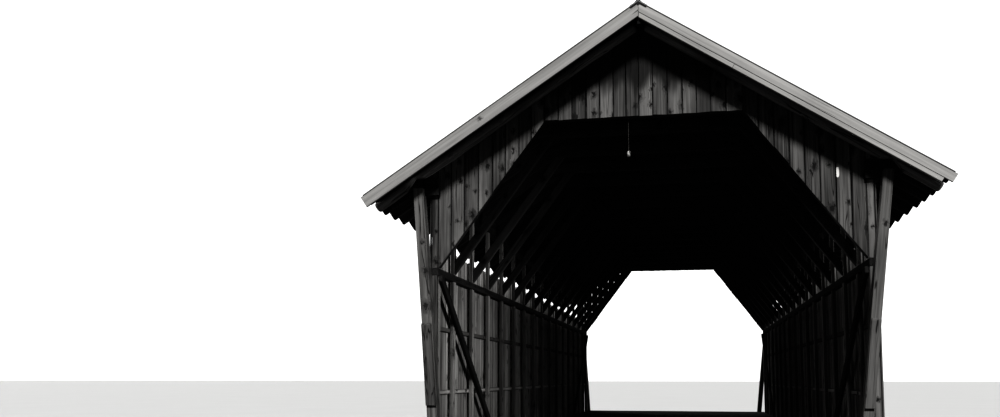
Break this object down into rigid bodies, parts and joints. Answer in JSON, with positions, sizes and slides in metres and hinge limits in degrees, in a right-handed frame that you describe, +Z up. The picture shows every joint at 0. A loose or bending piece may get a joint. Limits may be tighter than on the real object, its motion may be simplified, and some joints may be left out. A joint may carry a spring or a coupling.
{
  "type": "covered bridge",
  "caption": "Single-lane timber covered bridge with board-clad walls, shouldered portals, leaning corner posts and a metal gable roof.",
  "frame": {"origin": "on the ground under the middle of the bridge, midway between the portals and between the walls", "axes": "+X across the roadway to the right as one enters the near portal, +Y along the bridge from the near portal to the far one, +Z up"},
  "size_m": [6.16, 16, 5.6612],
  "materials": {
    "weathered_boards": "rough sawn softwood boards, weathered grey",
    "rake_boards": "planed boards, bleached pale grey, nailed",
    "frame_timber": "rough sawn frame timber, dark with age",
    "corner_timber": "rough squared timber, weathered grey, cracked",
    "deck_planks": "worn sawn planks",
    "heavy_timber": "hewn heavy timber, dark",
    "roof_metal": "galvanised sheet, dull and slightly rusted",
    "wire": "dark dull wire",
    "turned_wood": "pale bleached wood"
  },
  "bodies": {
    "root": {"bed_timbers_far": "heavy_timber", "bed_timbers_near": "heavy_timber", "collars": "frame_timber", "deck": "deck_planks", "far_left_corner_post": "corner_timber", "far_left_post_scab": "corner_timber", "far_right_corner_post": "corner_timber", "far_right_post_scab": "corner_timber", "gable_siding_far": "weathered_boards", "gable_siding_near": "weathered_boards", "girt_left": "frame_timber", "girt_right": "frame_timber", "hanging_wire": "wire", "knee_braces_left": "frame_timber", "knee_braces_right": "frame_timber", "near_left_corner_post": "corner_timber", "near_left_post_scab": "corner_timber", "near_right_corner_post": "corner_timber", "near_right_post_scab": "corner_timber", "overhang_rafters_far": "frame_timber", "overhang_rafters_near": "frame_timber", "posts_left": "frame_timber", "posts_right": "frame_timber", "rafters_left": "frame_timber", "rafters_right": "frame_timber", "rails_left": "frame_timber", "rails_right": "frame_timber", "rake_backings": "rake_boards", "rake_boards_far": "rake_boards", "rake_boards_near": "rake_boards", "ridge_board": "frame_timber", "ridge_cap": "roof_metal", "roof_boards_left": "frame_timber", "roof_boards_right": "frame_timber", "roof_sheet_left": "roof_metal", "roof_sheet_right": "roof_metal", "siding_left": "weathered_boards", "siding_right": "weathered_boards", "stringers": "heavy_timber", "wall_plate_left": "frame_timber", "wall_plate_right": "frame_timber", "wind_braces_left": "frame_timber", "wind_braces_right": "frame_timber", "wire_weight": "turned_wood"}
  },
  "joints": []
}
